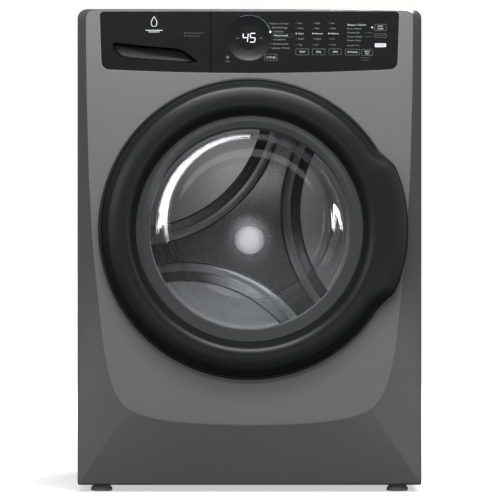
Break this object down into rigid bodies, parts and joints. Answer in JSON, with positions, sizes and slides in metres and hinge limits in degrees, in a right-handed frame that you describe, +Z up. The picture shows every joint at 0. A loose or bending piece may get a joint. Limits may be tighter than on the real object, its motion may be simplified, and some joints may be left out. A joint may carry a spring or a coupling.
{
  "type": "front load washing machine",
  "caption": "Front loading washing machine with a round glass door that swings on a side hinge, a detergent drawer, a key panel and a sprung tub with a tilted drum.",
  "frame": {"origin": "on the floor, under the middle of the machine's overall box", "axes": "+Z up, -Y to the front with the door, +X to the right seen from the front"},
  "size_m": [0.6858, 0.8, 0.9652],
  "materials": {
    "cabinet_paint": "satin",
    "console_black": "gloss",
    "door_trim": "satin",
    "door_grey": "matte",
    "bowl_glass": "polished",
    "drum_steel": "satin",
    "lifter_grey": "satin",
    "cast_alloy": "satin",
    "hinge_steel": "satin",
    "gasket_rubber": "matte",
    "hose_rubber": "matte",
    "belt_rubber": "matte",
    "tub_plastic": "matte",
    "inner_plastic": "matte",
    "drawer_plastic": "satin",
    "counterweight_stone": "matte",
    "motor_alloy": "satin",
    "spring_steel": "satin",
    "valve_red": "satin",
    "valve_blue": "satin",
    "foot_rubber": "matte"
  },
  "bodies": {
    "cabinet": {"front_panel": "cabinet_paint", "left_side_panel": "cabinet_paint", "right_side_panel": "cabinet_paint", "rear_panel": "cabinet_paint", "top_panel": "cabinet_paint", "base_frame": "cabinet_paint", "control_fascia": "console_black", "display_lens": "console_black", "dispenser_housing": "inner_plastic", "hot_inlet_valve": "valve_red", "cold_inlet_valve": "valve_blue", "cord_gland": "hose_rubber", "drain_outlet": "inner_plastic", "door_lock": "inner_plastic", "hinge_bracket": "hinge_steel", "door_gasket": "gasket_rubber", "drain_pump": "inner_plastic", "sump_hose": "hose_rubber", "left_damper_cylinder": "inner_plastic", "right_damper_cylinder": "inner_plastic", "left_spring": "spring_steel", "right_spring": "spring_steel"},
    "door": {"door_bezel": "door_trim", "door_inner_ring": "door_grey", "door_glass": "bowl_glass", "hinge_arm": "hinge_steel", "hinge_pin": "hinge_steel"},
    "latch": {"latch_hook": "hinge_steel"},
    "drawer": {"drawer_front": "console_black", "drawer_tray": "drawer_plastic"},
    "tub": {"tub_front": "tub_plastic", "tub_rear": "tub_plastic", "front_counterweight": "counterweight_stone", "motor": "motor_alloy", "drive_belt": "belt_rubber", "drum_bearing": "hinge_steel", "left_damper_rod": "inner_plastic", "right_damper_rod": "inner_plastic"},
    "drum": {"drum_shell": "drum_steel", "drum_back": "drum_steel", "lifter_1": "lifter_grey", "lifter_2": "lifter_grey", "lifter_3": "lifter_grey", "drum_spider": "cast_alloy", "drum_pulley": "cast_alloy"},
    "motor_rotor": {"motor_pulley": "hinge_steel"},
    "impeller": {"pump_impeller": "tub_plastic"},
    "button_cycles": {"key_cycles": "console_black"},
    "button_temp": {"key_temp": "console_black"},
    "button_soil": {"key_soil": "console_black"},
    "button_spin": {"key_spin": "console_black"},
    "button_options": {"key_options": "console_black"},
    "button_delay": {"key_delay": "console_black"},
    "button_start": {"key_start": "console_black"},
    "button_cancel": {"key_cancel": "console_black"},
    "button_power": {"key_power": "console_black"},
    "leg_front_left": {"foot_front_left": "foot_rubber"},
    "leg_front_right": {"foot_front_right": "foot_rubber"},
    "leg_rear_left": {"foot_rear_left": "foot_rubber"},
    "leg_rear_right": {"foot_rear_right": "foot_rubber"}
  },
  "joints": [
    {"name": "door_hinge", "type": "hinge", "parent": "cabinet", "child": "door", "pos_m": [-0.292, -0.3675, 0.5245], "axis": [0, 0, -1], "range_deg": [0, 125]},
    {"name": "latch_release", "type": "hinge", "parent": "door", "child": "latch", "pos_m": [0.245, -0.363, 0.5245], "axis": [0, 0, -1], "range_deg": [0, 8], "stiffness_Nm_per_rad": 0.8, "springref_deg": -5.73},
    {"name": "drawer_slide", "type": "slide", "parent": "cabinet", "child": "drawer", "axis": [0, -1, 0], "range_m": [0, 0.19]},
    {"name": "press_cycles", "type": "slide", "parent": "cabinet", "child": "button_cycles", "axis": [0, 1, 0], "range_m": [0, 0.001], "stiffness_N_per_m": 400, "springref_m": -0.001},
    {"name": "press_temp", "type": "slide", "parent": "cabinet", "child": "button_temp", "axis": [0, 1, 0], "range_m": [0, 0.001], "stiffness_N_per_m": 400, "springref_m": -0.001},
    {"name": "press_soil", "type": "slide", "parent": "cabinet", "child": "button_soil", "axis": [0, 1, 0], "range_m": [0, 0.001], "stiffness_N_per_m": 400, "springref_m": -0.001},
    {"name": "press_spin", "type": "slide", "parent": "cabinet", "child": "button_spin", "axis": [0, 1, 0], "range_m": [0, 0.001], "stiffness_N_per_m": 400, "springref_m": -0.001},
    {"name": "press_options", "type": "slide", "parent": "cabinet", "child": "button_options", "axis": [0, 1, 0], "range_m": [0, 0.001], "stiffness_N_per_m": 400, "springref_m": -0.001},
    {"name": "press_delay", "type": "slide", "parent": "cabinet", "child": "button_delay", "axis": [0, 1, 0], "range_m": [0, 0.001], "stiffness_N_per_m": 400, "springref_m": -0.001},
    {"name": "press_start", "type": "slide", "parent": "cabinet", "child": "button_start", "axis": [0, 1, 0], "range_m": [0, 0.001], "stiffness_N_per_m": 400, "springref_m": -0.001},
    {"name": "press_cancel", "type": "slide", "parent": "cabinet", "child": "button_cancel", "axis": [0, 1, 0], "range_m": [0, 0.001], "stiffness_N_per_m": 400, "springref_m": -0.001},
    {"name": "press_power", "type": "slide", "parent": "cabinet", "child": "button_power", "axis": [0, 1, 0], "range_m": [0, 0.001], "stiffness_N_per_m": 400, "springref_m": -0.001},
    {"name": "tub_bounce", "type": "slide", "parent": "cabinet", "child": "tub", "axis": [0, 0, 1], "range_m": [-0.008, 0.008], "stiffness_N_per_m": 30000, "springref_m": 0.01376, "deforming": ["door_gasket", "sump_hose", "left_spring", "right_spring"]},
    {"name": "drum_spin", "type": "hinge", "parent": "tub", "child": "drum", "pos_m": [0, -0.355, 0.5245], "axis": [0, 0.9993, -0.0384], "continuous": true},
    {"name": "motor_spin", "type": "hinge", "parent": "tub", "child": "motor_rotor", "pos_m": [0, -0.3694, 0.14978], "axis": [0, 0.9993, -0.0384], "continuous": true},
    {"name": "pump_spin", "type": "hinge", "parent": "cabinet", "child": "impeller", "pos_m": [0.175, -0.25, 0.085], "axis": [1, 0, 0], "continuous": true},
    {"name": "level_front_left", "type": "slide", "parent": "cabinet", "child": "leg_front_left", "axis": [0, 0, -1], "range_m": [0, 0.02]},
    {"name": "level_front_right", "type": "slide", "parent": "cabinet", "child": "leg_front_right", "axis": [0, 0, -1], "range_m": [0, 0.02]},
    {"name": "level_rear_left", "type": "slide", "parent": "cabinet", "child": "leg_rear_left", "axis": [0, 0, -1], "range_m": [0, 0.02]},
    {"name": "level_rear_right", "type": "slide", "parent": "cabinet", "child": "leg_rear_right", "axis": [0, 0, -1], "range_m": [0, 0.02]}
  ],
  "couplings": [
    {"joint": "motor_spin", "follows": "drum_spin", "ratio": 12}
  ]
}
